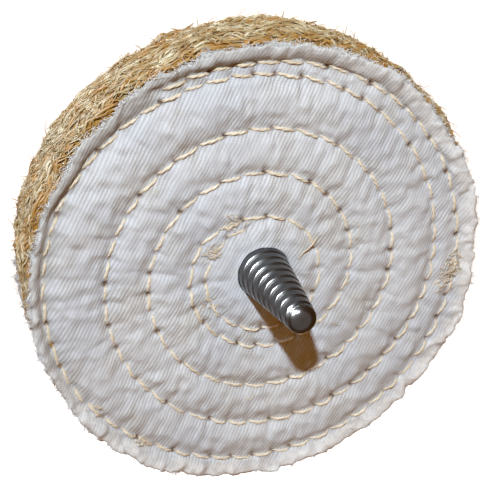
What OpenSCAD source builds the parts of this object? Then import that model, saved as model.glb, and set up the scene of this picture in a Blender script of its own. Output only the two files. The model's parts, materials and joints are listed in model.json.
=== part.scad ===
// Stitched sisal polishing mop, screwed onto a tapered spindle for a bench motor.
// The spindle's axis lies along Y. Its tip and the mop's front face look towards -Y.
// The origin is the centre of the shaft bore's mouth, and +Z is up.

/* [Mop] */
// Diameter of the cotton cloth faces
cloth_d = 100; // [80:1:160]
// How far the sisal stands out past the cloth, all round
sisal_lip = 1.5; // [0.5:0.1:4]
// Thickness of one cotton ply
cloth_t = 0.7; // [0.4:0.1:1.5]
// Thickness of one sisal ply
sisal_t = 2.5; // [1.5:0.1:4]
// Number of sisal plies
sisal_plies = 5; // [2:1:8]
// Radial clearance between the screw's crests and the hole through the plies
hole_clear = 0.3; // [0.2:0.05:1]

/* [Stitching] */
// Radius at which the stitching starts, beside the hole
lock_start_r = 11.4; // [10:0.1:14]
// How far the lock ring drifts outwards over its turn
lock_drift = 2.2; // [1.5:0.1:3]
// Radius of the spiral at the three o'clock position, on its first turn
first_turn_r = 19.8; // [18:0.1:24]
// Gap between the spiral's first two turns and the lock ring
entry_gap = 6.3; // [5:0.1:8]
// Gap between the turns of the spiral
turn_gap = 10.3; // [8:0.1:14]
// Distance from the cloth's edge in to the rim ring
rim_inset = 4; // [3:0.1:8]
// Length of one stitch
stitch_len = 5; // [3:0.1:8]
// Width of the thread as it lies on the cloth
thread_w = 0.9; // [0.5:0.1:1.4]
// Height of the thread on the cloth
thread_h = 0.6; // [0.3:0.1:1]

/* [Tapered screw] */
// Length of the screw in front of the mop
proud_len = 24.6; // [15:0.1:40]
// Diameter over the crests at the mop's front face
face_crest_d = 11.5; // [10:0.1:14]
// Loss of diameter for each millimetre of length
taper = 0.235; // [0.1:0.005:0.24]
// Pitch of the right-hand thread
pitch = 2.5; // [2:0.1:4]
// Depth of the thread's groove
groove_depth = 0.55; // [0.3:0.05:0.9]
// Length of the plain nose at the tip
nose_len = 2.4; // [2:0.1:5]
// Radius round the nose's edge
nose_round = 1.8; // [0.5:0.1:2]

/* [Sleeve] */
// Diameter of the motor shaft that the sleeve fits
shaft_d = 12.7; // [8:0.1:14]
// Radial clearance between the shaft and the bore
shaft_clear = 0.025; // [0.01:0.005:0.05]
// Outside diameter of the sleeve
sleeve_d = 25; // [22:0.5:32]
// Depth of the shaft bore
bore_depth = 30; // [24:0.5:40]
// Steel left between the bore's end and the screw
web_t = 2; // [1.5:0.1:6]
// Chamfer on both ends of the sleeve
sleeve_chamfer = 0.8; // [0.3:0.1:2]
// Gap between the sleeve and the back of the mop
mop_gap = 4; // [3:0.1:8]

/* [Set screws] */
// Thread diameter of a set screw
screw_d = 6; // [4:0.5:8]
// Length of a set screw
screw_len = 6; // [5:0.5:8]
// Radial clearance between a set screw and its hole
screw_clear = 0.05; // [0.02:0.01:0.1]
// Distance from each end of the bore to the nearer set screw
screw_inset = 8; // [6:0.5:10]
// How far each set screw's point stops short of the bore
screw_back = 0.1; // [0.05:0.05:0.5]
// Width across the flats of the hexagon socket
socket_af = 3; // [2:0.5:4]
// Depth of the hexagon socket
socket_depth = 2.8; // [2:0.1:3]
// Depth of the hollow in the cup point
cup_depth = 0.7; // [0.3:0.1:1]

/* [Hidden] */

$fn = 96;
over = 1;               // how far a cutter runs past what it cuts

// Stations along the axis, measured from the bore's mouth towards the tip
sleeve_end = bore_depth + web_t;
back_face = sleeve_end + mop_gap;
sisal_back = back_face + 2 * cloth_t;
sisal_front = sisal_back + sisal_plies * sisal_t;
front_face = sisal_front + 2 * cloth_t;
tip = front_face + proud_len;

// Spindle
bore_r = shaft_d / 2 + shaft_clear;
sleeve_r = sleeve_d / 2;
function crest_r(u) = (face_crest_d - taper * (u - front_face)) / 2;
screw_sides = 24;       // facets round the screw thread
// One pitch of the thread: [share of the pitch, share of the groove's depth]
thread_form = [[0, 1], [0.1, 1], [0.28, 0], [0.82, 0]];
under_nose = 0.03;      // the thread's crests stay this far under the nose's cone
core_gap = 0.2;         // the solid core stays this far under the groove
bury = 0.5;             // how far the thread's first turn starts inside the sleeve
thread_start = sleeve_end - pitch - bury;
thread_turns = floor((tip - nose_round - thread_start) / pitch) - 1;

// Cloth and stitching
cloth_r = cloth_d / 2;
sisal_r = cloth_r + sisal_lip;
rim_ring_r = cloth_r - rim_inset;
lock_from = -612;       // angles run anticlockwise from three o'clock, seen from the front
lock_to = -245;
entry_at = -211;
rim_ring_turn = 0.75;   // share of a turn that the rim ring goes round once it is reached
seam_to = 360 * ((rim_ring_r - first_turn_r) / turn_gap + rim_ring_turn);

function spiral_r(a) = first_turn_r + a / 360 * (a < 0 ? entry_gap : turn_gap);
function lock_r(a) = lock_start_r + lock_drift * (a - lock_from) / 360;
function between(a, b, t) = a + (b - a) * t;
function seam_r(a) =
    a < lock_to ? lock_r(a) :
    a < entry_at ? between(lock_r(lock_to), spiral_r(entry_at), (a - lock_to) / (entry_at - lock_to)) :
    min(rim_ring_r, spiral_r(a));
function next_stitch(a) = a + stitch_len / seam_r(a) * 180 / PI;
seam = [for (a = lock_from; a < seam_to; a = next_stitch(a)) [seam_r(a), a]];

// Puts what is modelled along +Z, from the bore's mouth to the tip, into the part's frame
module laid() {
    rotate([90, 0, 0]) children();
}

// The screw's threaded surface as one helical strip, closed at both ends on the axis
module screw_thread() {
    form_n = len(thread_form);
    rows = thread_turns * form_n;
    function row_u(i, j) = thread_start
        + pitch * (floor(j / form_n) + thread_form[j % form_n][0] + i / screw_sides);
    function row_r(i, j) = crest_r(row_u(i, j)) - under_nose
        - groove_depth * thread_form[j % form_n][1];
    function point(i, j) = let (a = 360 * i / screw_sides, r = row_r(i, j))
        [r * cos(a), r * sin(a), row_u(i, j)];
    // The strip's points: column i goes round, row j goes along, and column 0 has one more turn of rows
    function at(i, j) = i == screw_sides ? at(0, j + form_n) : i * (rows + form_n + 1) + j;
    points = [for (i = [0:screw_sides - 1]) for (j = [0:rows + form_n]) point(i, j)];
    low = len(points);
    high = low + 1;
    axis_ends = [[0, 0, thread_start + pitch / 2], [0, 0, thread_start + pitch * (thread_turns + 0.5)]];
    skin = [for (i = [0:screw_sides - 1]) for (j = [0:rows - 1]) each [
        [at(i, j), at(i, j + 1), at(i + 1, j)],
        [at(i + 1, j), at(i, j + 1), at(i + 1, j + 1)]
    ]];
    low_ramp = [for (i = [0:screw_sides - 1]) [at(i, 0), at(i + 1, 0), low]];
    low_step = [for (j = [0:form_n - 1]) [at(0, j + 1), at(0, j), low]];
    high_ramp = [for (i = [0:screw_sides - 1]) [at(i + 1, rows), at(i, rows), high]];
    high_step = [for (j = [0:form_n - 1]) [at(0, rows + j), at(0, rows + j + 1), high]];
    polyhedron(concat(points, axis_ends), concat(skin, low_ramp, low_step, high_ramp, high_step));
}

// Solid core under the thread, with the plain rounded nose at its end
module core_and_nose() {
    nose_start = tip - nose_len;
    core_drop = groove_depth + core_gap;
    edge_u = tip - nose_round;
    edge_r = crest_r(edge_u);
    rotate_extrude()
        polygon(concat(
            [[0, sleeve_end - over], [crest_r(sleeve_end - over) - core_drop, sleeve_end - over],
             [crest_r(nose_start) - core_drop, nose_start], [crest_r(nose_start), nose_start]],
            [for (a = [0:15:90]) [edge_r - nose_round * (1 - cos(a)), edge_u + nose_round * sin(a)]],
            [[0, tip]]
        ));
}

module sleeve() {
    rotate_extrude()
        polygon([
            [0, 0], [sleeve_r - sleeve_chamfer, 0], [sleeve_r, sleeve_chamfer],
            [sleeve_r, sleeve_end - sleeve_chamfer], [sleeve_r - sleeve_chamfer, sleeve_end],
            [0, sleeve_end]
        ]);
}

// Places a child on the sleeve's upper side, pointing outwards, at set screw number i
module at_screw(i) {
    u = i == 1 ? screw_inset : bore_depth - screw_inset;
    translate([0, 0, u]) rotate([-90, 0, 0]) children();
}

module spindle() {
    color("silver") laid() difference() {
        union() {
            sleeve();
            screw_thread();
            core_and_nose();
        }
        translate([0, 0, -over]) cylinder(h = bore_depth + over, r = bore_r);
        for (i = [1:2])
            at_screw(i) cylinder(h = sleeve_r + over, r = screw_d / 2 + screw_clear);
    }
}

module set_screw(i) {
    point_r = screw_d / 4;
    seat = bore_r + screw_back;
    color("dimgray") laid() at_screw(i) translate([0, 0, seat]) difference() {
        rotate_extrude()
            polygon([
                [0, cup_depth], [point_r, 0], [screw_d / 2, screw_d / 2 - point_r],
                [screw_d / 2, screw_len], [0, screw_len]
            ]);
        translate([0, 0, screw_len - socket_depth])
            cylinder(h = socket_depth + over, r = socket_af / sqrt(3), $fn = 6);
    }
}

// One round ply from station u, with a tapered hole that clears the screw's crests
module ply(u, t, r) {
    laid() difference() {
        translate([0, 0, u]) cylinder(h = t, r = r);
        translate([0, 0, u - over])
            cylinder(h = t + 2 * over, r1 = crest_r(u - over) + hole_clear,
                     r2 = crest_r(u + t + over) + hole_clear);
    }
}

module front_cloth_outer() {
    color("whitesmoke") ply(front_face - cloth_t, cloth_t, cloth_r);
}

module front_cloth_inner() {
    color("gainsboro") ply(sisal_front, cloth_t, cloth_r);
}

// Sisal plies are numbered from the front
module sisal_ply(i) {
    color("burlywood") ply(sisal_front - i * sisal_t, sisal_t, sisal_r);
}

module back_cloth_inner() {
    color("gainsboro") ply(back_face + cloth_t, cloth_t, cloth_r);
}

module back_cloth_outer() {
    color("whitesmoke") ply(back_face, cloth_t, cloth_r);
}

// The thread laid along the whole seam as one flat strip, from station u to u + thread_h
module seam_strip(u) {
    function corner(s, side, up) = let (r = s[0] + side * thread_w / 2)
        [r * cos(s[1]), r * sin(s[1]), u + up * thread_h];
    points = [for (s = seam) each [corner(s, -1, 0), corner(s, 1, 0), corner(s, 1, 1), corner(s, -1, 1)]];
    last = 4 * (len(seam) - 1);
    sides = [for (k = [0:4:last - 4]) for (c = [0:3])
        let (d = (c + 1) % 4) [k + c, k + d, k + 4 + d, k + 4 + c]];
    polyhedron(points, concat([[3, 2, 1, 0]], sides, [[last, last + 1, last + 2, last + 3]]));
}

module needle_thread() {
    color("wheat") laid() seam_strip(front_face);
}

module bobbin_thread() {
    color("wheat") laid() seam_strip(back_face - thread_h);
}

spindle();
set_screw(1);  // set_screw_1
set_screw(2);  // set_screw_2
front_cloth_outer();
front_cloth_inner();
for (i = [1:sisal_plies]) {
    sisal_ply(i);
}
back_cloth_inner();
back_cloth_outer();
needle_thread();
bobbin_thread();
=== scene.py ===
# %% [markdown]
# # A stitched sisal polishing mop on its tapered spindle
#
# The real mop is a stack of round plies: cotton twill on both faces, and coarse sisal fabric
# between them. One seam in a spiral holds the stack together. The mop is screwed onto a steel
# spindle with a tapered thread, and the spindle's sleeve clamps on a motor shaft.
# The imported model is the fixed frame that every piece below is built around.

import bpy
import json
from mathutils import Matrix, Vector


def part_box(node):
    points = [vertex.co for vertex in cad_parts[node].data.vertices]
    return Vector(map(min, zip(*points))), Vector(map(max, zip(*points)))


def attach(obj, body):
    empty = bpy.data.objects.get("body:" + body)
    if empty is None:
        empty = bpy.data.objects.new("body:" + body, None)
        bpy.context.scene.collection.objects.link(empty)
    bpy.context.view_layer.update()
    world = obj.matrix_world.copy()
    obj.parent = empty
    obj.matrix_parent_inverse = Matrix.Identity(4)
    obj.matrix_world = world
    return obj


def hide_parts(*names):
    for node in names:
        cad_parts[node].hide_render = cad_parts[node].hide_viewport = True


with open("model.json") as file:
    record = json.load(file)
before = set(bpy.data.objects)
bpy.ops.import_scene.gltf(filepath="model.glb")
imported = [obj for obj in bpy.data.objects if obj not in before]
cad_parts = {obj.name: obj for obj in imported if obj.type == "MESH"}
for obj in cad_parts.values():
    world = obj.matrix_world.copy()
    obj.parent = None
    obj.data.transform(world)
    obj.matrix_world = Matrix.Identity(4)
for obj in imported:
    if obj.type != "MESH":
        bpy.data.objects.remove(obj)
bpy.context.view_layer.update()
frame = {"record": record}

# %% [markdown]
# ## Places and sizes
#
# Lengths are worked out in millimetres, because the seams and fibres are that small, and become
# metres when a mesh is made. A place on the mop has three numbers: the radius from the spindle's
# axis, the angle anticlockwise from three o'clock as seen from the front, and the station along
# the spindle, counted from the mouth of its bore towards its tip.

# %% Places from the frame
import json
import math

import bmesh
import bpy
import numpy as np
from mathutils import Matrix, Vector
from mathutils.kdtree import KDTree

MM = 0.001


def stations(node):
    """The stations of a node's back and front, in millimetres."""
    low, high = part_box(node)
    return -high.y / MM, -low.y / MM


def radius_of(node):
    """A round node's radius in millimetres."""
    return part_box(node)[1].x / MM


def at(r, a, u):
    """Points of the row's frame, in millimetres, from radius, angle in radians and station."""
    r, a, u = np.broadcast_arrays(r, a, u)
    return np.stack([r * np.cos(a), -u, r * np.sin(a)], -1)


cloth_r = radius_of("front_cloth_outer")
sisal_r = radius_of("sisal_ply_1")
front = stations("front_cloth_outer")[1]
back = stations("back_cloth_outer")[0]
tip = stations("spindle")[1]
sleeve_r = radius_of("spindle")
bore = frame["record"]["mounts"][0]["dims"]
print(f"mop from {back:.1f} to {front:.1f} mm, cloth radius {cloth_r:.1f} mm, tip at {tip:.1f} mm")

# %% [markdown]
# ## Making a mesh
#
# Thousands of fibres are quicker to make as arrays of numbers than as single objects, so each
# piece's points and faces are worked out with numpy and become one mesh. A number kept for each
# point, such as how brown a strand is, reaches the material as an attribute.

# %% Mesh helpers
def new_piece(name, points, faces, material, **kept):
    """One mesh object from points in millimetres. Each array in kept becomes an attribute."""
    mesh = bpy.data.meshes.new(name)
    mesh.from_pydata((np.asarray(points, float) * MM).tolist(), [], faces)
    outward = bmesh.new()
    outward.from_mesh(mesh)
    bmesh.ops.recalc_face_normals(outward, faces=outward.faces)
    outward.to_mesh(mesh)
    outward.free()
    mesh.polygons.foreach_set("use_smooth", np.ones(len(mesh.polygons), bool))
    for key, values in kept.items():
        attribute = mesh.attributes.new(key, "FLOAT", "POINT")
        attribute.data.foreach_set("value", np.asarray(values, np.float32).ravel())
    mesh.materials.append(material)
    mesh.update()
    piece = bpy.data.objects.new(name, mesh)
    bpy.context.scene.collection.objects.link(piece)
    return piece


def placed(piece, body, node):
    """Lets a piece ride on a body and stand for a CAD node, whose part it hides."""
    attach(piece, body)
    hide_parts(node)
    print(f"{piece.name}: {len(piece.data.vertices)} points, {len(piece.data.polygons)} faces")


def grid_faces(rows, columns, wrap_rows=False, wrap_columns=False, first=0):
    """Quads of a grid of points that are listed row by row."""
    i = np.arange(rows if wrap_rows else rows - 1)[:, None]
    j = np.arange(columns if wrap_columns else columns - 1)[None, :]
    below, beside = (i + 1) % rows, (j + 1) % columns
    quads = [i * columns + j, i * columns + beside, below * columns + beside, below * columns + j]
    return (np.stack([np.broadcast_to(q, (len(i), j.shape[1])) for q in quads], -1)
            .reshape(-1, 4) + first).tolist()


def capped_faces(rows, columns):
    """Quads of a round skin, and a face over each end ring."""
    last = (rows - 1) * columns
    caps = [list(range(columns))[::-1], list(range(last, last + columns))]
    return grid_faces(rows, columns, wrap_columns=True) + caps


# %% Tubes
def unit(vectors):
    return vectors / np.maximum(np.linalg.norm(vectors, axis=-1, keepdims=True), 1e-12)


def tubes(paths, radii, sides):
    """Many round strands at once, with closed ends. paths is (strands, rings, 3) and radii is
    (strands, rings)."""
    strands, rings, _ = paths.shape
    along = unit(np.gradient(paths, axis=1))
    lie = abs(along[:, :, 1]).mean(1) > 0.8
    up = np.where(lie[:, None, None], [1.0, 0.0, 0.0], [0.0, 1.0, 0.0])
    across = unit(np.cross(along, up))
    over = np.cross(across, along)
    turn = np.arange(sides) * 2 * math.pi / sides
    ring = np.cos(turn)[:, None] * across[:, :, None] + np.sin(turn)[:, None] * over[:, :, None]
    points = paths[:, :, None] + radii[:, :, None, None] * ring
    one_tube = np.array(grid_faces(rings, sides, wrap_columns=True))
    starts = np.arange(strands) * rings * sides
    faces = (one_tube[None] + starts[:, None, None]).reshape(-1, 4).tolist()
    low_cap = np.arange(sides)[::-1][None] + starts[:, None]
    high_cap = np.arange(sides)[None] + (starts + (rings - 1) * sides)[:, None]
    return points.reshape(-1, 3), faces + low_cap.tolist() + high_cap.tolist()


def joined(*shapes):
    """Several (points, faces) as one."""
    points, faces, first = [], [], 0
    for some_points, some_faces in shapes:
        points.append(some_points)
        faces += [[k + first for k in face] for face in some_faces]
        first += len(some_points)
    return np.concatenate(points), faces


# %% Smooth noise and steps
def waves(x, z, length, seed, count=14):
    """Smooth noise, mostly from -1 to 1: a sum of plane waves about length mm long."""
    rng = np.random.default_rng(seed)
    total = np.zeros(np.broadcast(x, z).shape)
    for heading, stretch, phase in rng.random((count, 3)):
        k = 2 * math.pi / (length * (0.7 + 0.9 * stretch))
        heading = heading * 2 * math.pi
        total += np.sin(k * (x * math.cos(heading) + z * math.sin(heading)) + phase * 2 * math.pi)
    return total / math.sqrt(count)


def smooth_step(low, high, value):
    """0 at low, 1 at high, smooth between. With low above high it falls instead."""
    t = np.clip((value - low) / (high - low), 0, 1)
    return t * t * (3 - 2 * t)


# %% [markdown]
# ## Writing materials as sums
#
# A material is a graph of nodes, and wiring it by hand hides what it works out. A small class
# wraps a socket, so that an expression such as `1 - mask * 0.3` adds the Math nodes itself.
# Colours and vectors go through Mix and Vector Math, because a Math node would turn them grey.

# %% The shader class
class Socket:
    """An output socket, or a number, that arithmetic can be done with."""

    def __init__(self, tree, link):
        self.tree = tree
        self.link = link

    def math(self, operation, *values):
        return self.tree.node("ShaderNodeMath", {"operation": operation}, values)

    def __add__(self, other):
        return self.math("ADD", self, other)

    def __radd__(self, other):
        return self.math("ADD", other, self)

    def __sub__(self, other):
        return self.math("SUBTRACT", self, other)

    def __rsub__(self, other):
        return self.math("SUBTRACT", other, self)

    def __mul__(self, other):
        return self.math("MULTIPLY", self, other)

    def __rmul__(self, other):
        return self.math("MULTIPLY", other, self)

    def sin(self):
        return self.math("SINE", self)

    def clamp(self):
        return self.tree.node("ShaderNodeClamp", {}, {"Value": self})

    def between(self, low, high):
        """0 below low, 1 above high, and smooth between."""
        values = {"Value": self, "From Min": low, "From Max": high}
        return self.tree.node("ShaderNodeMapRange", {"interpolation_type": "SMOOTHSTEP"}, values)


# %% The material class
class Finish:
    """One material, with a Principled shader and the few nodes that the finishes here need."""

    def __init__(self, name, **settings):
        self.material = bpy.data.materials.new(name)
        self.material.use_nodes = True
        self.nodes = self.material.node_tree.nodes
        self.shader = self.nodes["Principled BSDF"]
        for socket, value in settings.items():
            self.shader.inputs[socket.replace("_", " ")].default_value = value

    def node(self, kind, settings, values, output=0):
        """Adds a node, sets it up, fills its sockets, and gives one of its outputs."""
        made = self.nodes.new(kind)
        for key, value in settings.items():
            setattr(made, key, value)
        pairs = values.items() if isinstance(values, dict) else enumerate(values)
        for key, value in pairs:
            self.fill(made.inputs[key], value)
        return Socket(self, made.outputs[output])

    def fill(self, socket, value):
        if isinstance(value, Socket):
            self.material.node_tree.links.new(value.link, socket)
        else:
            socket.default_value = value

    def place(self):
        """Where a point of the piece is, in millimetres."""
        metres = self.node("ShaderNodeTexCoord", {}, {}, output="Object")
        return self.node("ShaderNodeVectorMath", {"operation": "SCALE"}, {0: metres, "Scale": 1 / MM})

    def parts(self, vector):
        """A vector's three numbers."""
        split = self.node("ShaderNodeSeparateXYZ", {}, {0: vector})
        return [Socket(self, output) for output in split.link.node.outputs]

    def vector(self, x, y, z):
        return self.node("ShaderNodeCombineXYZ", {}, {0: x, 1: y, 2: z})

    def noise(self, vector, size, detail=3.0, rough=0.55):
        """Noise from 0 to 1 with lumps about size millimetres across."""
        values = {"Vector": vector, "Scale": 1 / size, "Detail": detail, "Roughness": rough}
        return self.node("ShaderNodeTexNoise", {}, values)

    def kept(self, name):
        """A number that the mesh keeps for each point."""
        return self.node("ShaderNodeAttribute", {"attribute_name": name}, {}, output="Fac")

    def mix(self, low, high, share):
        """A colour between two. Inputs 6 and 7 are the node's colours."""
        values = {"Factor": share, 6: low, 7: high}
        return self.node("ShaderNodeMix", {"data_type": "RGBA"}, values, output=2)

    def tone(self, colour, strength):
        """A colour made lighter or darker by a number."""
        grey = self.vector(strength, strength, strength)
        settings = {"operation": "MULTIPLY"}
        return self.node("ShaderNodeVectorMath", settings, {0: colour, 1: grey})

    def bump(self, height, depth, strength=1.0):
        """height is from 0 to 1, and stands for depth millimetres."""
        values = {"Height": height, "Distance": depth * MM, "Strength": strength}
        self.fill(self.shader.inputs["Normal"], self.node("ShaderNodeBump", {}, values))

    def set(self, **values):
        for socket, value in values.items():
            self.fill(self.shader.inputs[socket.replace("_", " ")], value)


def rgb(red, green, blue):
    return (red, green, blue, 1.0)


# %% [markdown]
# ## Camera and lights
#
# A long lens close to the mop, to its upper left, gives the slight perspective of a product
# picture. The key is a small lamp half a metre away, above the camera: it is near, so the cloth
# gets dimmer away from it, and small, so the spindle's short shadow has a clear edge. The dim
# warm surroundings fill that shadow. Steel shows only what it reflects, so a glint lamp and a
# large grey card are there for the reflections alone. A soft lamp lights the back.

# %% Camera
LENS = 84.0
SENSOR = 36.0
CAMERA_FROM_FACE = Vector((-73.6, -212.5, 104.8))
LOOK_RIGHT = Vector((0.9491, -0.3149, 0.0))
LOOK_ALONG = Vector((0.2883, 0.8689, -0.4023))

camera = bpy.data.objects.new("camera", bpy.data.cameras.new("camera"))
bpy.context.scene.collection.objects.link(camera)
camera.data.lens = LENS
camera.data.sensor_width = SENSOR
camera.data.clip_start = 0.01
along = LOOK_ALONG.normalized()
right = (LOOK_RIGHT - along * LOOK_RIGHT.dot(along)).normalized()
turned = Matrix((right, right.cross(along), -along)).transposed()
spot = (CAMERA_FROM_FACE + Vector((0, -front, 0))) * MM
camera.matrix_world = Matrix.Translation(spot) @ turned.to_4x4()
bpy.context.scene.camera = camera
print("camera at", [round(x, 4) for x in spot])


# %% Lights
LIT_PLACE = Vector((0, -0.045, 0))


def area_light(name, place, size, power, colour):
    """A round lamp at a place in metres, pointing at the mop."""
    light = bpy.data.lights.new(name, "AREA")
    light.shape = "DISK"
    light.size = size
    light.energy = power
    light.color = colour
    lamp = bpy.data.objects.new(light.name, light)
    bpy.context.scene.collection.objects.link(lamp)
    lamp.location = place
    lamp.rotation_euler = (LIT_PLACE - Vector(place)).to_track_quat("-Z", "Y").to_euler()
    return lamp


area_light("key", (-0.140, -0.400, 0.323), 0.020, 2.86, (0.80, 0.915, 1.0))
glint = area_light("glint", (-0.62, -0.30, 0.60), 0.11, 130.0, (0.92, 0.96, 1.0))
card = area_light("grey_card", (-0.10, -0.90, -0.20), 2.40, 5.6, (0.88, 0.94, 1.0))
for lamp in (glint, card):
    lamp.visible_diffuse = False
area_light("rear", (0.50, 0.75, 0.14), 0.60, 15.0, (0.84, 0.93, 1.0))

world = bpy.data.worlds.new("world")
world.use_nodes = True
surroundings = world.node_tree.nodes["Background"].inputs
surroundings["Color"].default_value = rgb(1.0, 0.42, 0.07)
surroundings["Strength"].default_value = 0.24
bpy.context.scene.world = world
bpy.context.scene.view_settings.view_transform = "Standard"
print("lamps:", sorted(light.name for light in bpy.data.lights))

# %% [markdown]
# ## Floor
#
# The mop hangs well above the floor, as on a motor. The floor is a round sweep that curves up
# into a wall, so that every view ends on the same pale tone. It glows evenly, and neither
# lights, tints nor shades the mop.

# %% Floor
FLOOR_DROP = 550.0
SWEEP = [(0.01, 0), (4000, 0), (5200, 150), (6000, 600), (6400, 1400), (6500, 5000)]
SWEEP_SIDES = 96
floor_finish = Finish("pale_floor", Base_Color=rgb(0.95, 0.95, 0.95), Roughness=0.8,
                      Emission_Color=rgb(1, 1, 1), Emission_Strength=1.0)
sweep_a = np.arange(SWEEP_SIDES) * 2 * math.pi / SWEEP_SIDES
sweep_rows = [np.stack([r * np.cos(sweep_a), r * np.sin(sweep_a), 0 * sweep_a + h - FLOOR_DROP], -1)
              for r, h in SWEEP]
sweep_faces = grid_faces(len(SWEEP), SWEEP_SIDES, wrap_columns=True)
floor = new_piece("floor", np.concatenate(sweep_rows), sweep_faces, floor_finish.material)
floor.visible_diffuse = False
floor.visible_glossy = False
floor.visible_shadow = False
print(f"floor {FLOOR_DROP:.0f} mm under the spindle's axis")

# %% [markdown]
# ## The seam
#
# The seam is sewn by hand-guiding the stack under a machine. It starts with a lock ring near
# the hole, steps out, winds outwards in a spiral with its turns about 10 mm apart, and ends
# with most of a ring along the rim. A short list of places where the operator's hand changed
# the radius gives the route, and smoothing between them gives the slightly uneven curve.

# %% The seam's route
SEAM_ROUTE = [
    (-612, 11.2), (-575, 12.4), (-540, 13.1), (-420, 13.5), (-350, 12.4), (-270, 12.6),
    (-235, 13.9), (-211, 16.0), (-90, 17.4), (0, 19.8), (180, 25.2), (323, 28.5), (360, 29.6),
    (540, 34.3), (630, 36.7), (720, 39.8), (800, 42.7), (830, 44.2), (876, 46.9), (928, 46.9),
    (955, 45.6), (1120, 45.5), (1175, 45.6), (1199, 46.6),
]
STITCH = 5.0
STITCH_SPREAD = 0.09    # share of a stitch's length
SMOOTHING = 10.0        # degrees on each side

degrees = np.arange(SEAM_ROUTE[0][0], SEAM_ROUTE[-1][0], 0.5)
route = np.interp(degrees, *np.transpose(SEAM_ROUTE))
window = np.hanning(int(4 * SMOOTHING) + 1)
padded = np.pad(route, len(window) // 2, mode="edge")
seam_r = np.convolve(padded, window / window.sum(), "valid")
seam_a = np.radians(degrees)
seam_line = np.stack([seam_r * np.cos(seam_a), seam_r * np.sin(seam_a)], -1)
steps = np.linalg.norm(np.diff(seam_line, axis=0), axis=1)
seam_s = np.concatenate([[0], np.cumsum(steps)])

# %% Needle holes
rng = np.random.default_rng(11)
lengths = STITCH * (1 + STITCH_SPREAD * rng.standard_normal(400).clip(-1.6, 1.6))
hole_s = np.cumsum(lengths)
hole_s = np.concatenate([[0], hole_s[hole_s < seam_s[-1]]])


def on_seam(s):
    """Points of the seam, across and up, at distances along it."""
    return np.stack([np.interp(s, seam_s, seam_line[:, k]) for k in (0, 1)], -1)


holes = on_seam(hole_s)
near_seam = KDTree(len(seam_line))
for k, (x, z) in enumerate(seam_line):
    near_seam.insert((x, z, 0), k)
near_seam.balance()


def seam_nearby(x, z):
    """For each point: how far the seam is, and how far along the seam that place is."""
    found = [near_seam.find((px, pz, 0)) for px, pz in zip(x.ravel(), z.ravel())]
    distance = np.array([f[2] for f in found]).reshape(x.shape)
    along_it = seam_s[np.array([f[1] for f in found])].reshape(x.shape)
    return distance, along_it


print(f"seam {seam_s[-1]:.0f} mm long, {len(holes) - 1} stitches")

# %% [markdown]
# ## Cotton twill
#
# The faces are bleached twill, whose fine diagonal ribs lean to the right. The ribs are too fine
# for geometry, so a rib wave, broken up by the crossing yarns, goes to the colour and the bump.
# Noise adds faint warm stains where polish and hands have touched it. The cloth is darker down
# in the needle holes, where light hardly reaches. At the rim the ribs give way to lint, white
# where the edge is worn, and towards the upper left the rim strip is greyed with painted shade,
# where the cloth turns away from the light.

# %% Cotton finish
RIB_PITCH = 0.75
YARN_PITCH = 0.5
RIB_HEADING = math.radians(59)


def cotton_finish(name):
    made = Finish(name, Roughness=0.92, Sheen_Weight=0.12, Sheen_Roughness=0.5,
                  Specular_IOR_Level=0.06)
    place = made.place()
    x, _, z = made.parts(place)
    wander = made.noise(place, 11.0, detail=1.0) * 0.8
    across = z * math.cos(RIB_HEADING) - x * math.sin(RIB_HEADING) + wander
    down = x * math.cos(RIB_HEADING) + z * math.sin(RIB_HEADING) + wander
    ribs = (across * (2 * math.pi / RIB_PITCH)).sin() * 0.5 + 0.5
    yarns = (down * (2 * math.pi / YARN_PITCH) + across * (math.pi / RIB_PITCH)).sin() * 0.5 + 0.5
    fuzz = made.noise(place, 0.35, detail=4.0)
    faint = made.noise(place, 4.5, detail=2.0).between(0.25, 0.75) * 0.6 + 0.4
    strength = faint * (1 - made.kept("fluff"))
    weave = (ribs * (0.55 + yarns * 0.35) - 0.4) * strength + fuzz * 0.45
    stain = made.noise(place, 9.0, detail=6.0, rough=0.65).between(0.48, 0.70)
    cloud = made.noise(place, 22.0, detail=3.0).between(0.3, 0.7)
    white = made.mix(rgb(0.575, 0.595, 0.635), rgb(0.655, 0.665, 0.68), cloud)
    stained = made.mix(white, rgb(0.50, 0.455, 0.38), stain * 0.42)
    # Painted shade: the rim strip greys, most at the upper left, where the cloth turns from the
    # light.
    warm = made.mix(stained, rgb(0.36, 0.345, 0.32), made.kept("soiled") * 0.90)
    hollow = made.kept("hollow").between(0.12, 0.80)
    sunk = made.mix(warm, rgb(0.16, 0.09, 0.05), hollow * 0.92)
    lint = made.noise(place, 1.1, detail=6.0, rough=0.7)
    pale = made.mix(sunk, rgb(0.94, 0.94, 0.92), made.kept("fluff") * lint.between(0.15, 0.6))
    made.set(Base_Color=made.tone(pale, 0.82 + weave * 0.56))
    made.bump(weave * 0.32 + made.kept("fluff") * lint * 1.2, 0.32)
    return made.material


twill = cotton_finish("cotton_twill")
print(f"{twill.name}: a rib every {RIB_PITCH} mm")

# %% [markdown]
# ## Puffed by simulation
#
# Thread pulls a quilted face down along its seam, and the cloth between the turns, a little too
# large for its bed, puffs up and wrinkles. Blender's Cloth makes that by itself: a coarse disc,
# a hundred times life size, since Cloth works badly on millimetres, is held along the seam,
# grows by a few per cent and is pushed outwards by a light pressure. Its movement is then read
# back as numbers for the fine mesh, with a smooth spline so that the coarse grid doesn't show.

# %% Cloth simulation
SIM_RINGS = 46
SIM_SPOKES = 320
SIM_SCALE = 0.1         # simulated metres for each millimetre
SIM_FRAMES = 20
GROWTH = 0.035
PRESSURE = 12


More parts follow.
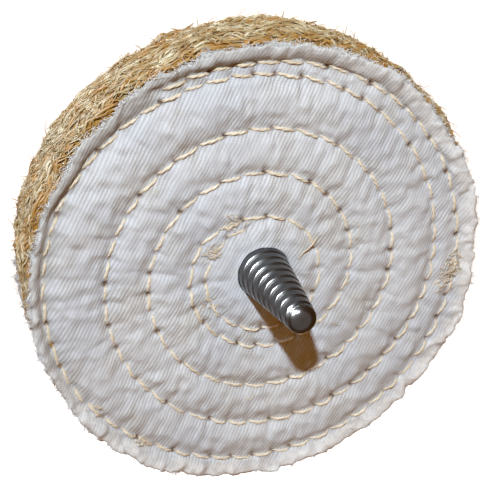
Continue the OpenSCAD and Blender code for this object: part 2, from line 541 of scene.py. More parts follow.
def puffed_grid(hole_r, seed):
    """Movement in millimetres (across, up, out) of each point of a coarse disc."""
    share = np.linspace(0, 1, SIM_RINGS)[:, None]
    a = np.arange(SIM_SPOKES)[None, :] * 2 * math.pi / SIM_SPOKES
    r = hole_r + (cloth_r - hole_r) * share
    x, z = r * np.cos(a), r * np.sin(a)
    distance, s = seam_nearby(x, z)
    puff = 1 - np.exp(-(distance / 2.1) ** 1.5)
    start = (0.35 + 0.25 * waves(x, z, 7, seed)) * puff
    flat = np.stack([x, z, start], -1)
    faces = [face[::-1] for face in grid_faces(SIM_RINGS, SIM_SPOKES, wrap_columns=True)]
    mesh = bpy.data.meshes.new("puffing")
    mesh.from_pydata((flat.reshape(-1, 3) * SIM_SCALE).tolist(), [], faces)
    disc = bpy.data.objects.new("puffing", mesh)
    bpy.context.scene.collection.objects.link(disc)
    sewn_down = disc.vertex_groups.new(name="sewn")
    near_hole = np.abs(r - hole_r) < 0.5
    held = (1.6 * np.exp(-(distance / 0.8) ** 2) + near_hole).clip(0, 1).ravel()
    for k in np.flatnonzero(held > 0.05).tolist():
        sewn_down.add([k], float(held[k]), "REPLACE")
    cloth = disc.modifiers.new("cloth", "CLOTH")
    made = cloth.settings
    made.quality = 6
    made.mass = 0.05
    made.tension_stiffness = made.compression_stiffness = 12
    made.shear_stiffness = 6
    made.bending_stiffness = 0.3
    made.vertex_group_mass = "sewn"
    made.use_pressure = True
    made.uniform_pressure_force = PRESSURE
    made.shrink_min = made.shrink_max = -GROWTH
    made.effector_weights.gravity = 0
    cloth.point_cache.frame_end = SIM_FRAMES
    for frame_number in range(1, SIM_FRAMES + 1):
        bpy.context.scene.frame_set(frame_number)
    moved = disc.evaluated_get(bpy.context.evaluated_depsgraph_get())
    places = np.empty(len(mesh.vertices) * 3)
    moved.data.vertices.foreach_get("co", places)
    bpy.context.scene.frame_set(1)
    bpy.data.objects.remove(disc)
    flat[..., 2] = 0
    out = places.reshape(flat.shape) / SIM_SCALE - flat
    print(f"puffed {out[..., 2].min():.2f} to {out[..., 2].max():.2f} mm")
    return out.clip(-1.6, 2.2)


# %% Splines between the coarse points
def spline(values, where, wrap=False):
    """Smooth values between the rows of a grid, at places counted in rows."""
    k = np.floor(where).astype(int)
    t = (where - k).reshape((-1,) + (1,) * (values.ndim - 1))
    weights = [(1 - t) ** 3, 3 * t ** 3 - 6 * t * t + 4, -3 * t ** 3 + 3 * t * t + 3 * t + 1, t ** 3]
    rows = [k + shift for shift in (-1, 0, 1, 2)]
    last = len(values)
    rows = [row % last if wrap else row.clip(0, last - 1) for row in rows]
    return sum(weight / 6 * values[row] for weight, row in zip(weights, rows))


def finer(grid, share, turns):
    """The grid at other rings and spokes."""
    rows = spline(grid, share * (len(grid) - 1))
    columns = np.swapaxes(rows, 0, 1)
    return np.swapaxes(spline(columns, turns * len(columns), wrap=True), 0, 1)


# %% Both faces
HOLE_CLEAR = 0.08
CREST_AT_FACE = 5.75    # radius of the screw's crest at the front face
TAPER = 0.1175          # radius the screw loses for each millimetre
hole_front = CREST_AT_FACE + HOLE_CLEAR
hole_back = hole_front + TAPER * (front - back)
front_puff = puffed_grid(hole_front, 3)
back_puff = puffed_grid(hole_back, 4)

# %% [markdown]
# ## The cloth faces
#
# Each face has an outer and an inner ply. At each needle hole the cloth is pulled in, so that
# small puckers run across the seam. The cut edge wanders, since the mop was cut out by hand
# and has worn since, and it turns outwards, most of all at the upper left of the front.
# A ply is a closed shell with a fine upper side, and a coarse underside that nobody sees.

# %% Relief of a face
EDGE = [
    (0, 49.8), (12, 50.7), (30, 49.4), (50, 49.7), (75, 49.5), (110, 49.6), (150, 49.6),
    (180, 50.0), (200, 49.5), (240, 50.6), (260, 50.0), (285, 50.2), (310, 50.2), (330, 50.2),
    (342, 51.0), (360, 49.8),
]
FLARE_TOWARDS = math.radians(135)
PUFF_SHARE = 0.62       # share of the simulated puffing that is used
PIT_WIDTH = 0.72
PUCKER_DEPTH = 0.42
RIDGE_HEIGHT = 0.10


def edge_radius(a, seed):
    """Radius of a ply's cut edge at each angle."""
    wander = np.interp(np.degrees(a) % 360, *np.transpose(EDGE))
    x, z = cloth_r * np.cos(a), cloth_r * np.sin(a)
    return wander + 0.30 * waves(x, z, 9, seed) + 0.20 * waves(x, z, 2.4, seed + 1)


def nearest_hole(s):
    """Index of the needle hole nearest to each distance along the seam."""
    above = np.searchsorted(hole_s, s).clip(1, len(hole_s) - 1)
    return np.where(s - hole_s[above - 1] < hole_s[above] - s, above - 1, above)


def relief(x, z, share, turns, puff, seed):
    """How far a face's points move (across, up, out), how deep and how dark the holes are."""
    distance, s = seam_nearby(x, z)
    r, a = np.hypot(x, z), np.arctan2(z, x)
    nearest = nearest_hole(s)
    t = s - hole_s[nearest]
    pull = np.random.default_rng(seed).uniform(0.35, 1.0, len(hole_s))[nearest]
    pit = np.exp(-(np.hypot(t, distance) / PIT_WIDTH) ** 2)
    dark = pit * (0.25 + 0.75 * smooth_step(0.45, 0.9, pull))
    pit = pit * (0.5 + 0.5 * pull)
    pucker = -PUCKER_DEPTH * pull * np.exp(-(t / 0.75) ** 2) * np.exp(-distance / 2.2)
    ridge = RIDGE_HEIGHT * pull * np.exp(-((np.abs(t) - 1.6) / 0.7) ** 2) * np.exp(-distance / 1.8)
    lumps = 0.18 * waves(x, z, 5, seed + 5) + 0.09 * waves(x, z, 2.6, seed + 6)
    crumple = lumps * smooth_step(0, 2.0, distance)
    moved = finer(puff, share, turns)
    rim = smooth_step(cloth_r - 4.4, cloth_r + 0.4, r)
    flare = 1.05 + 1.05 * np.cos(a - FLARE_TOWARDS) + 0.30 * waves(x, z, 9, seed + 9)
    centre = 1 - smooth_step(0.3, 3.0, r - CREST_AT_FACE)
    moved = moved * (PUFF_SHARE * (1 - np.exp(-(distance / 1.1) ** 2)))[..., None]
    out = (moved[..., 2] + pucker + ridge + crumple) * (1 - 0.6 * rim) * (1 - 0.5 * centre)
    crinkle = 0.28 * waves(x, z, 3.4, seed + 12) + 0.14 * waves(x, z, 1.7, seed + 13)
    moved[..., :2] *= (1 - rim)[..., None]
    moved[..., 2] = out + rim * (flare + crinkle) * smooth_step(0.8, 2.2, distance)
    return moved, pit, dark


# %% A ply of cloth
RINGS = 100
SPOKES = 640
PIT_DEPTH = 0.45
PLY_SHARE = 0.85        # share of the room for a ply that its thickness takes
COARSE = np.linspace(0, 0.85, 13)
RIMWARDS = np.linspace(0.87, 1, 10)


def underside(lift):
    """Which rings the underside keeps, and the lowest lift round each, so that it never shows."""
    kept_rings, lowest = [], []
    for share in np.concatenate([COARSE, RIMWARDS]):
        ring = round(share * (RINGS - 1))
        reach = 2 if share >= RIMWARDS[0] else 8
        kept_rings.append(ring)
        lowest.append(lift[max(ring - reach, 0):ring + reach + 1].min(0))
    return kept_rings, np.array(lowest)


def cloth_ply(name, node, face, sign, layer, seed, hole_r, puff):
    """A ply with the face's relief. sign is 1 at the front and -1 at the back."""
    low, high = stations(node)
    pitch = high - low
    turns = np.arange(SPOKES) / SPOKES
    spokes = turns * 2 * math.pi
    outline = edge_radius(spokes, seed + 40 + layer)[None, :] - 0.1 * layer
    share = np.linspace(0, 1, RINGS)
    r = hole_r + (outline - hole_r) * share[:, None]
    x, z = r * np.cos(spokes), r * np.sin(spokes)
    moved, pit, dark = relief(x, z, share, turns, puff, seed)
    pit = pit * (layer == 0)
    lift = moved[..., 2] - PIT_DEPTH * pit
    rounding = smooth_step(0.985, 1.0, share)[:, None] * 0.25 * pitch
    under_rings, lowest = underside(lift)
    shells = []
    for rings, height in (
        (list(range(RINGS)), lift - layer * pitch - rounding),
        (under_rings, lowest - (layer + PLY_SHARE) * pitch + rounding[under_rings]),
    ):
        plan = np.stack([x, z], -1)[rings] + moved[rings][..., :2]
        shell = np.stack([plan[..., 0], -(face + sign * height), plan[..., 1]], -1)
        shells.append(shell.reshape(-1, 3))
    # worn is highest at the lower right; 1 - worn puts painted shade on the rim towards the upper
    # left.
    worn = 0.6 - 0.4 * np.cos(spokes - FLARE_TOWARDS)
    inwards = outline - r - 0.8 * waves(x, z, 4, seed)
    marks = {
        "hollow": dark * (layer == 0),
        "fluff": worn * smooth_step(3.8, 0.6, inwards),
        "soiled": (1 - worn) * smooth_step(5.2, 2.6, inwards),
    }
    kept = {key: np.concatenate([mark.ravel(), (mark[under_rings] * (key != "hollow")).ravel()])
            for key, mark in marks.items()}
    first = RINGS * SPOKES
    upper = grid_faces(RINGS, SPOKES, wrap_columns=True)
    lower = [f[::-1] for f in grid_faces(len(under_rings), SPOKES, wrap_columns=True, first=first)]
    last, under_last = (RINGS - 1) * SPOKES, first + (len(under_rings) - 1) * SPOKES
    k = np.arange(SPOKES)
    after = (k + 1) % SPOKES
    rim = np.stack([last + k, last + after, under_last + after, under_last + k], -1)
    bore_edge = np.stack([after, k, first + k, first + after], -1)
    faces = upper + lower + rim.tolist() + bore_edge.tolist()
    piece = new_piece(name, np.concatenate(shells), faces, twill, **kept)
    placed(piece, "mop", node)
    return piece, shells[0].reshape(RINGS, SPOKES, 3)[-1]


# %% The four plies
LINING_STEP = 0.1       # how much the taper changes the hole's radius at the lining
plies = {}
for side, face, sign, seed, hole_r, puff in (
    ("front", front, 1, 20, hole_front, front_puff),
    ("back", back, -1, 21, hole_back, back_puff),
):
    for layer, kind, place in ((0, "face", "outer"), (1, "lining", "inner")):
        plies[side, kind] = cloth_ply(
            f"{side}_{kind}_cloth", f"{side}_cloth_{place}", face, sign, layer, seed,
            hole_r + sign * layer * LINING_STEP, puff)

# %% [markdown]
# ## Frayed edges
#
# Twill frays where it is cut: short ends of white yarn stand out all round the edge, most of
# them half a millimetre long, bent and uneven. Each is a thin tube that starts inside the cloth.

# %% Fray
FRAY_ENDS = 2600
FRAY_ROOT = 0.35        # how far inside the cloth an end starts


def fray(name, rims, sign, seed):
    """Short cotton ends round the cut edges of both plies of a face."""
    rng = np.random.default_rng(seed)
    rings = 5
    v = np.linspace(0, 1, rings)[None, :]
    edge = np.stack(rims)[rng.integers(0, 2, FRAY_ENDS), rng.integers(0, SPOKES, FRAY_ENDS)]
    r, a = np.hypot(edge[:, 0], edge[:, 2])[:, None], np.arctan2(edge[:, 2], edge[:, 0])[:, None]
    u = -edge[:, 1][:, None] - sign * rng.uniform(0.05, 0.5, (FRAY_ENDS, 1))
    reach = rng.gamma(2.2, 0.22, (FRAY_ENDS, 1)).clip(0.15, 1.6)
    bend = rng.normal(0, 0.8, (FRAY_ENDS, 1))
    droop = rng.normal(0, 0.45, (FRAY_ENDS, 1))
    paths = at(r - FRAY_ROOT + (reach + FRAY_ROOT) * np.sin(1.4 * v) / math.sin(1.4),
               a + bend * v ** 1.7 / r, u + droop * v ** 1.5)
    thick = rng.uniform(0.05, 0.11, (FRAY_ENDS, 1)) * (1 - 0.6 * v)
    points, faces = tubes(paths, thick, 4)
    piece = new_piece(name, points, faces, twill, hollow=np.zeros(len(points)),
                      fluff=np.full(len(points), 0.5), soiled=np.zeros(len(points)))
    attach(piece, "mop")
    print(f"{name}: {FRAY_ENDS} ends")
    return piece


# %% Frayed ends
for side, sign, seed, rest in (("front", 1, 51, "sisal_ply_1"), ("back", -1, 52, "sisal_ply_5")):
    outer, outer_rim = plies[side, "face"]
    inner, inner_rim = plies[side, "lining"]
    frayed = fray(f"{side}_fray", (outer_rim, inner_rim), sign, seed)

# %% [markdown]
# ## The stitches
#
# A lockstitch shows as a row of short plump bars, each diving into the hole where the next one
# rises. The thread is two strands twisted together, so each bar is made as two tubes that wind
# round one arched centreline, a little askew to the seam, as machine stitches lie.

# %% Thread finish
def thread_finish():
    made = Finish("unbleached_thread", Roughness=0.75, Sheen_Weight=0.15, Specular_IOR_Level=0.12)
    place = made.place()
    speck = made.noise(place, 0.3, detail=4.0)
    cloud = made.noise(place, 5.0).between(0.3, 0.7)
    cream = made.mix(rgb(0.60, 0.49, 0.34), rgb(0.84, 0.75, 0.59), cloud * 0.45 + speck * 0.7)
    # Painted shade: each stitch darkens to brown towards its ends, where it dives into the needle
    # holes.
    deep = made.kept("sunk").between(0.25, 1.0)
    made.set(Base_Color=made.mix(cream, rgb(0.27, 0.17, 0.10), deep * 0.85))
    made.bump(speck, 0.05)
    return made.material


thread = thread_finish()
print("finish:", thread.name)


# %% Sewn bars
THREAD_R = 0.23
STRAND_OFFSET = 0.14
STRAND_SIDES = 6
SUNK_ENDS = 0.75        # how deep a stitch's ends go into the cloth
RINGS_PER_STITCH = 17


def twisted(paths, radius, offset, turns, phase):
    """Two strands wound round each path, as tubes."""
    strands, rings, _ = paths.shape
    forward = unit(np.gradient(paths, axis=1))
    across = unit(np.cross(forward, [0.0, 1.0, 0.0]))
    over = np.cross(across, forward)
    v = np.linspace(0, 1, rings)[None, :]
    shapes = []
    for half in (0, math.pi):
        angle = 2 * math.pi * turns[:, None] * v + phase[:, None] + half
        aside = np.cos(angle)[..., None] * across + np.sin(angle)[..., None] * over
        strand = paths + offset * aside
        swell = radius[:, None] * (0.72 + 0.28 * np.sin(math.pi * v))
        shapes.append(tubes(strand, swell, STRAND_SIDES))
    return joined(*shapes)


def sewn(face, sign, seed):
    """The row of stitches on one face, and how sunk into the cloth each point is."""
    rng = np.random.default_rng(seed)
    start, end = holes[:-1], holes[1:]
    count = len(start)
    v = np.linspace(0, 1, RINGS_PER_STITCH)[None, :, None]
    flat = unit(end - start)
    normal = np.stack([flat[:, 1], -flat[:, 0]], -1)
    below = smooth_step(0.2, 1.0, normal @ np.array([0.6, -0.8]))
    skew = rng.uniform(0.12, 0.34, count)[:, None, None]
    bow = (rng.uniform(-0.05, 0.2, count) + 0.38 * below)[:, None, None]
    upright = np.abs(flat[:, 1]) ** 2
    gap = (rng.uniform(0.0, 0.05, count) + rng.uniform(0.0, 0.08, count) * upright)[:, None, None]
    plan = start[:, None] + (end - start)[:, None] * (gap + (1 - 2 * gap) * v)
    plan = plan + normal[:, None] * ((v - 0.5) * 2 * skew + 4 * v * (1 - v) * bow)
    top = rng.uniform(0.08, 0.42, count)[:, None]
    arch = np.sin(math.pi * v[..., 0]) ** 0.55
    height = -SUNK_ENDS + (top + SUNK_ENDS) * arch
    paths = np.stack([plan[..., 0], -(face + sign * height), plan[..., 1]], -1)
    turns = rng.uniform(1.2, 1.7, count)
    plump = THREAD_R * rng.uniform(0.82, 1.12, count)
    points, faces = twisted(paths, plump, STRAND_OFFSET, turns, rng.uniform(0, 6.28, count))
    # sunk marks where a stitch goes down into the cloth, which the finish darkens as painted shade.
    sunk = np.tile(np.repeat((1 - arch * np.ones((count, 1))).ravel(), STRAND_SIDES), 2)
    return points, faces, sunk


for name, node, face, sign, seed in (
    ("front_stitches", "needle_thread", front, 1, 31),
    ("back_stitches", "bobbin_thread", back, -1, 32),
):
    points, faces, sunk = sewn(face, sign, seed)
    stitches = new_piece(name, points, faces, thread, sunk=sunk)
    placed(stitches, "mop", node)

# %% [markdown]
# ## Loose ends
#
# A used mop is never clean: the end of the needle thread stands up beside the hole, lumps of
# tangled fibres sit on the seam at the right, at the lower left and along the lock ring, and a
# few hairs of lint lie on the cloth. All of them are thin tubes along smooth lines.

# %% Tail, tangles and lint
TANGLES = [             # radius, angle in degrees, spread and number of fibres
    (44.6, -7, 1.0, 70), (43.2, -11, 0.9, 50), (45.0, -3, 0.7, 20), (13.0, 150, 0.9, 36),
    (14.0, 118, 0.9, 30), (13.5, 205, 0.7, 14), (45.8, 232, 0.8, 26), (45.6, 214, 0.7, 14),
]


def lying(points, radius, rings=24):
    """A thin tube along a smooth line through (across, up, height above the face) points."""
    points = np.array(points, float)
    where = np.linspace(0, len(points) - 1, rings)
    line = spline(np.concatenate([points[:1], points, points[-1:]]), where + 1)
    path = np.stack([line[:, 0], -(front + line[:, 2]), line[:, 1]], -1)
    return tubes(path[None], np.full((1, rings), radius) * (1 - 0.3 * np.linspace(0, 1, rings)), 6)


def loose_ends():
    rng = np.random.default_rng(77)
    shapes = [
        lying([(12.2, 6.8, -0.2), (11.3, 5.9, 0.8), (9.6, 4.7, 1.3), (8.3, 3.9, 1.2),
               (7.3, 2.3, 0.8)], 0.17),
        lying([(20.3, 9.6, 0.9), (21.2, 8.6, 1.1), (21.6, 7.2, 1.1), (21.0, 6.0, 1.0),
               (20.4, 5.2, 0.9)], 0.09),
        lying([(-4.6, -29.0, 0.4), (-3.9, -30.2, 1.0), (-2.8, -30.0, 1.1), (-2.7, -29.0, 0.7)], 0.10),
        lying([(15.2, -13.6, 1.1), (16.0, -14.4, 1.2), (17.3, -14.9, 1.1)], 0.07),
    ]
    for r, angle, spread, count in TANGLES:
        a = math.radians(angle)
        for _ in range(count):
            centre = np.array([r * math.cos(a), r * math.sin(a), 0.5]) + rng.normal(0, spread, 3)
            walk = centre + np.cumsum(rng.normal(0, [0.4, 0.4, 0.2], (5, 3)), 0)
            walk[:, 2] = walk[:, 2].clip(0.1, 1.2)
            shapes.append(lying(walk, 0.075, rings=10))
    return joined(*shapes)


points, faces = loose_ends()
loose = new_piece("loose_thread", points, faces, thread, sunk=np.zeros(len(points)))
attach(loose, "mop")
print(f"{loose.name}: {sum(tangle[3] for tangle in TANGLES)} tangled fibres")

# %% [markdown]
# ## Sisal
#
# Sisal fabric is woven from loosely twisted yarn of stiff golden plant fibres. Round the cut
# rim the yarns have burst open into slanting strands that lie mostly along the rim, pale on
# top. The orange-brown in the gaps is painted shade: the core ring, seen only between strands,
# has a deep tint, and so do the strands that lap over the flat sides next to the cloth. Each ply
# is a lumpy core ring, thick strands over it whose ends dive in, finer loose fibres over those,
# and whiskers that stand out.

# %% Sisal finish
def sisal_finish():
    made = Finish("golden_sisal", Roughness=0.55, Sheen_Weight=0.05, Specular_IOR_Level=0.18)
    place = made.place()
    speck = made.noise(place, 0.5, detail=4.0)
    patch = made.noise(place, 3.6, detail=2.0).between(0.35, 0.65)
    tint = (made.kept("tint") * 0.78 + speck * 0.45 + patch * 0.50 - 0.46).clamp()
    deep = made.mix(rgb(0.40, 0.20, 0.035), rgb(0.38, 0.26, 0.10), tint.between(0.0, 0.42))
    gold = made.mix(deep, rgb(0.64, 0.555, 0.365), tint.between(0.42, 0.95))
    made.set(Base_Color=gold)
    made.bump(speck, 0.12)
    return made.material


sisal = sisal_finish()
print("finish:", sisal.name)


# %% The sisal's rim
RIM = [
    (0, 50.6), (30, 51.1), (60, 51.4), (80, 51.9), (140, 52.1), (160, 51.9), (174, 50.4),
    (190, 49.2), (215, 49.5), (240, 50.2), (280, 50.1), (330, 50.0), (360, 50.6),
]
LAP = 3.2               # millimetres of the stack's flat sides that strands cover
THICK_STRANDS = 440
LOOSE_FIBRES = 500
WHISKERS = 110
WHISKER_ROOT = 0.6      # how far inside the rim a whisker starts
CORE_SPOKES = 420


def rim_radius(a, u):
    """The worn rim of the sisal stack."""
    worn = np.interp(np.degrees(a) % 360, *np.transpose(RIM))
    x, z = sisal_r * np.cos(a), sisal_r * np.sin(a)
    hills = 0.30 * waves(x + 0.8 * u, z - 0.9 * u, 11, 8)
    return worn - 0.4 + hills + 0.28 * waves(x - u, z + u, 4.5, 9)


def over_the_edge(r, u, low, high, lap_low, lap_high):
    """Turns what lies beyond a ply's flat side in over that side."""
    past = np.maximum(u - high, 0) * (lap_high > 0) + np.maximum(low - u, 0) * (lap_low > 0)
    turned = np.where(u > high, high, np.where(u < low, low, u))
    inwards = np.sqrt(past ** 2 + 0.3 * past)
    lift = 0.9 * (1 - np.exp(-past)) * smooth_step(3.4, 1.6, inwards) * np.where(u > high, 1, -1)
    return r - inwards, turned + lift * (past > 0)


# %% Strands and whiskers
def strands(rng, low, high, laps, count, length, slant, thick, hump, tint, sides):
    """Short strands along the rim. hump is how far the middle stands above the ends."""
    v = np.linspace(-0.5, 0.5, 7)[None, :]

    def draw(span):
        return rng.uniform(span[0], span[1], (count, 1))

    start = draw((0, 2 * math.pi))
    lean = rng.normal(0, slant, (count, 1)) + rng.choice([-0.13, 0.13], (count, 1))
    reach = draw(length)
    a = start + v * reach * np.cos(lean) / sisal_r
    wobble = draw((0.1, 0.5)) * np.sin(v * 5 + draw((0, 6.28)))
    u = draw((low - laps[0], high + laps[1])) + v * reach * np.sin(lean) + wobble
    u = u.clip(low - 0.2 - laps[0], high + 0.2 + laps[1])
    r = rim_radius(a, u) + draw((-0.45, 0.25)) - draw(hump) * (2 * v) ** 2
    lapped = smooth_step(0, 0.8, np.maximum(u - high, low - u) * (sum(laps) > 0))
    r, u = over_the_edge(r, u, low, high, *laps)
    radii = draw(thick) * (1 - 0.55 * np.abs(2 * v) ** 3)
    # Painted shade: strands lapped over the flat sides, next to the cloth's edge, get a deeper tint.
    shade = np.repeat(draw(tint), v.size, 1) - 0.4 * lapped
    points, faces = tubes(at(r, a, u), radii, sides)
    return points, faces, np.repeat(shade.ravel(), sides)


def whiskers(rng, low, high, count):
    """Fine fibre ends that stand out of the rim."""
    v = np.linspace(0, 1, 6)[None, :]
    start = rng.uniform(0, 2 * math.pi, (count, 1))
    reach = rng.gamma(2.0, 0.42, (count, 1)).clip(0.2, 2.2)
    bend = rng.normal(0, 2.0, (count, 1))
    a = start + bend * v ** 1.6 / sisal_r
    u = rng.uniform(low, high, (count, 1)) + rng.normal(0, 0.9, (count, 1)) * v ** 1.4
    r = rim_radius(a, u) - WHISKER_ROOT + (reach + WHISKER_ROOT) * np.sin(v * 1.3) / math.sin(1.3)
    radii = rng.uniform(0.07, 0.14, (count, 1)) * (1 - 0.7 * v)
    shade = np.repeat(rng.uniform(0.0, 0.8, (count, 1)), v.size, 1)
    points, faces = tubes(at(r, a, u), radii, 4)
    return points, faces, np.repeat(shade.ravel(), 4)


# %% The five plies of sisal
def core_ring(low, high, hole_r):
    """The ply's body under its strands: a lumpy flat ring."""
    spokes = np.arange(CORE_SPOKES) * 2 * math.pi / CORE_SPOKES
    profile = [(None, low), (-1.2, low), (-0.5, low + 0.3), (-0.4, (low + high) / 2),
               (-0.5, high - 0.3), (-1.2, high), (None, high)]
    rows = []
    for inset, u in profile:
        r = hole_r + 0 * spokes if inset is None else rim_radius(spokes, u) + inset
        rows.append(at(r, spokes, u))
    points = np.concatenate(rows)
    faces = grid_faces(len(profile), len(spokes), wrap_rows=True, wrap_columns=True)
    # The core's low tint is painted shade: it makes the gaps between strands deep orange-brown.
    return points, faces, np.full(len(points), 0.1)


def sisal_ply(number):
    """One ply of sisal, from its CAD node's stations."""
    node = f"sisal_ply_{number}"
    low, high = stations(node)
    rng = np.random.default_rng(600 + number)
    laps = (LAP if number == 5 else 0, LAP if number == 1 else 0)
    more = 1 + sum(laps) / (high - low)
    thick = strands(rng, low, high, laps, int(THICK_STRANDS * more), (2.5, 6.5), 0.15,
                    (0.16, 0.36), (0.2, 1.0), (0.0, 1.0), 6)
    loose = strands(rng, low, high, laps, int(LOOSE_FIBRES * more), (2, 8), 0.30,
                    (0.08, 0.20), (-0.8, 0.5), (0.3, 1.1), 4)
    ends = whiskers(rng, low, high, WHISKERS)
    core = core_ring(low, high, hole_front + TAPER * (front - low))
    parts = (core, thick, loose, ends)
    points, faces = joined(*[part[:2] for part in parts])
    tint = np.concatenate([part[2] for part in parts])
    piece = new_piece(f"sisal_layer_{number}", points, faces, sisal, tint=tint)
    placed(piece, "mop", node)


for number in range(1, 6):
    sisal_ply(number)

# %% [markdown]
# ## The spindle
#
# The spindle is turned from one bar: a sleeve bored for the motor shaft, and a tapered screw
# with a shallow rounded thread. One grid of rings makes the whole skin, and on the screw each
# ring's radius drops where the helical groove passes. A boolean then cuts the two holes that
# the set screws sit in. The steel is darkened in the grooves as painted shade, and fine lines
# from the lathe run round it.

# %% Steel finish
def steel_finish(name, light, dark, rough):
    made = Finish(name, Metallic=1.0)
    place = made.place()
    x, y, z = made.parts(place)
    lines = made.noise(made.vector(x * 0.04, y * 6.0, z * 0.04), 1.0, detail=5.0)
    smudge = made.noise(place, 3.0, detail=4.0)
    groove = made.kept("groove")
    # Painted shade: the base colour darkens towards the bottom of each groove; the smudges are
    # random.
    metal = made.mix(light, dark, (groove * 0.9 + smudge.between(0.45, 0.8) * 0.3).clamp())
    made.set(Base_Color=metal, Roughness=rough + smudge * 0.12 + groove * 0.15)
    made.bump(lines, 0.005)
    return made.material


steel = steel_finish("turned_steel", rgb(0.108, 0.110, 0.114), rgb(0.012, 0.010, 0.008), 0.18)
black_steel = steel_finish("blackened_steel", rgb(0.11, 0.11, 0.12), rgb(0.03, 0.03, 0.03), 0.30)
print("finishes:", steel.name, "and", black_steel.name)

# %% The spindle's skin
SLEEVE_END = 32.0
CHAMFER = 0.8
LEAD_IN = 0.4           # width of the bevel at the bore's mouth
THREAD_PITCH = 2.5
GROOVE_DEPTH = 0.55
NOSE_ROUND = 1.8
AROUND = 128
CLOSED = 0.001          # radius of a ring that closes an end


def crest(u):
    """The screw's radius on its crest."""
    return CREST_AT_FACE - TAPER * (u - front)


def groove_at(a, u):
    """From 0 on the crest to 1 at the bottom of the right-hand groove."""
    turn = u / THREAD_PITCH - a / (2 * math.pi)
    shape = 1 - smooth_step(0.04, 0.19, np.abs((turn + 0.5) % 1 - 0.5))
    return shape * smooth_step(tip - 1.7, tip - 3.2, u)


def spindle_rows():
    """Each ring's radius, station and whether the thread cuts it, from the bore's end to the tip."""
    bore_r, depth = bore["r_mm"], bore["length_mm"]
    rows = [(CLOSED, depth, 0), (bore_r, depth, 0), (bore_r, depth - 0.5, 0), (bore_r, LEAD_IN, 0)]
    rows += [(bore_r + LEAD_IN, 0, 0), (sleeve_r - CHAMFER, 0, 0), (sleeve_r, CHAMFER, 0)]
    rows += [(sleeve_r, u, 0) for u in np.linspace(CHAMFER + 0.3, SLEEVE_END - CHAMFER - 0.3, 20)]
    rows += [(sleeve_r, SLEEVE_END - CHAMFER, 0), (sleeve_r - CHAMFER, SLEEVE_END, 0)]
    rows += [(crest(SLEEVE_END) + 0.5, SLEEVE_END, 0)]
    rows += [(crest(u), u, 1) for u in np.arange(SLEEVE_END + 0.1, tip - NOSE_ROUND, 0.125)]
    edge_r = crest(tip - NOSE_ROUND)
    for angle in np.radians(np.arange(0, 90, 7)):
        rows.append((edge_r * math.cos(angle) ** 0.9, tip - NOSE_ROUND * (1 - math.sin(angle)), 1))
    rows += [(CLOSED, tip, 0)]
    return np.array(rows)


# %% The set screws' holes, and the spindle
def holes_cut(piece, cutters):
    """Cuts each cutter out of the piece for good."""
    for cutter in cutters:
        cut = piece.modifiers.new("cut", "BOOLEAN")
        cut.operation = "DIFFERENCE"
        cut.solver = "EXACT"
        cut.object = cutter
    bpy.context.view_layer.update()
    cut_piece = piece.evaluated_get(bpy.context.evaluated_depsgraph_get())
    solid = bpy.data.meshes.new_from_object(cut_piece)
    piece.modifiers.clear()
    piece.data = solid
    for cutter in cutters:
        bpy.data.objects.remove(cutter)


SET_SCREWS = ("set_screw_1", "set_screw_2")
SCREW_CLEAR = 0.04      # between a set screw and its hole
MOUTH_DEPTH = 0.25      # of the bevel at a set screw's hole


def screw_size(node):
    """A set screw's radius, where its axis is along the spindle, its bottom and its top."""
    low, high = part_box(node)
    return (high.x - low.x) / 2 / MM, (low.y + high.y) / 2 / MM, low.z / MM, high.z / MM


def lathe(profile, centre, sides=64):
    """A closed turned shape about +Z through centre, from (radius, height) pairs."""
    turn = np.arange(sides) * 2 * math.pi / sides
    rows = [np.stack([centre[0] + r * np.cos(turn), centre[1] + r * np.sin(turn),
                      np.full(sides, h)], -1) for r, h in profile]
    return np.concatenate(rows), capped_faces(len(profile), sides)


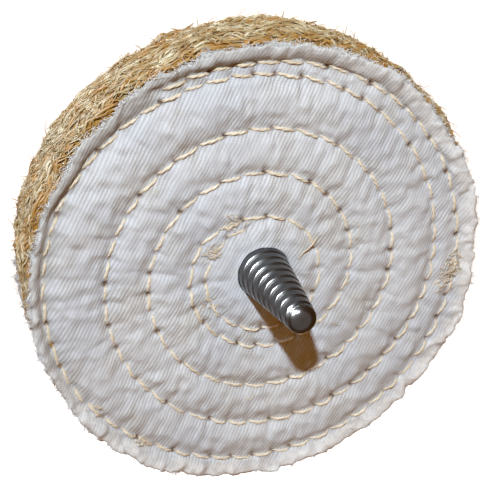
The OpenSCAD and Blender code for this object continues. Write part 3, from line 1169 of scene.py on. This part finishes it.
def make_spindle():
    rows = spindle_rows()
    a = np.arange(AROUND) * 2 * math.pi / AROUND
    depth = groove_at(a[None, :], rows[:, 1:2]) * rows[:, 2:3]
    r = rows[:, 0:1] - GROOVE_DEPTH * depth
    points = at(r, a[None, :], rows[:, 1:2]).reshape(-1, 3)
    faces = capped_faces(len(rows), AROUND)
    piece = new_piece("turned_spindle", points, faces, steel, groove=depth)
    cutters = []
    for node in SET_SCREWS:
        screw_r, centre_y, _, _ = screw_size(node)
        hole_r = screw_r + SCREW_CLEAR
        mouth = sleeve_r - MOUTH_DEPTH
        shape = lathe([(hole_r, 0), (hole_r, mouth), (hole_r + 1.2, mouth + 1.2)], (0, centre_y))
        cutters.append(new_piece("cutter", *shape, steel))
    holes_cut(piece, cutters)
    placed(piece, "spindle", "spindle")


make_spindle()


# %% [markdown]
# ## The set screws
#
# Each is a blackened M6 grub screw with a hexagon socket and a cup point. The same grid of
# rings makes it: helical thread outside, then rings that turn from round to hexagonal down into
# the socket.

# %% Set screws
SCREW_PITCH = 1.0
SCREW_GROOVE = 0.45
SCREW_SIDES = 96
SOCKET_FLAT = 1.5       # from the screw's axis to a flat of its socket
SOCKET_DEPTH = 2.8


def make_set_screw(node):
    """One grub screw, which is a body of its own."""
    r, centre_y, bottom, top = screw_size(node)
    a = np.arange(SCREW_SIDES) * 2 * math.pi / SCREW_SIDES
    sixth = math.pi / 3
    flat = SOCKET_FLAT / np.cos((a + sixth / 2) % sixth - sixth / 2)
    rows = [(CLOSED, bottom + 0.7, 0, 0), (r / 2 - 0.1, bottom + 0.05, 0, 0), (r / 2, bottom, 0, 0)]
    rows += [(r - 0.1, bottom + r / 2 - 0.1, 0, 0)]
    rows += [(r, h, 1, 0) for h in np.arange(bottom + r / 2, top - 0.3, 0.08)]
    rows += [(r - 0.05, top - 0.25, 0, 0), (r - 0.3, top, 0, 0), (SOCKET_FLAT + 0.35, top, 0, 0)]
    rows += [(SOCKET_FLAT, top - 0.15, 0, 1), (SOCKET_FLAT, top - SOCKET_DEPTH, 0, 1)]
    rows += [(CLOSED, top - SOCKET_DEPTH - 0.5, 0, 0)]
    points, grooves = [], []
    for radius, h, thread_on, hexagon in rows:
        turn = h / SCREW_PITCH - a / (2 * math.pi)
        groove = thread_on * (0.5 + 0.5 * np.cos(2 * math.pi * turn))
        ring = np.where(hexagon, flat, radius) - SCREW_GROOVE * groove
        height = np.full(SCREW_SIDES, h)
        points.append(np.stack([ring * np.cos(a), centre_y + ring * np.sin(a), height], -1))
        grooves.append(groove)
    grooves = np.concatenate(grooves)
    faces = capped_faces(len(rows), SCREW_SIDES)
    piece = new_piece("grub_" + node[-1], np.concatenate(points), faces, black_steel, groove=grooves)
    placed(piece, node, node)


for node in SET_SCREWS:
    make_set_screw(node)
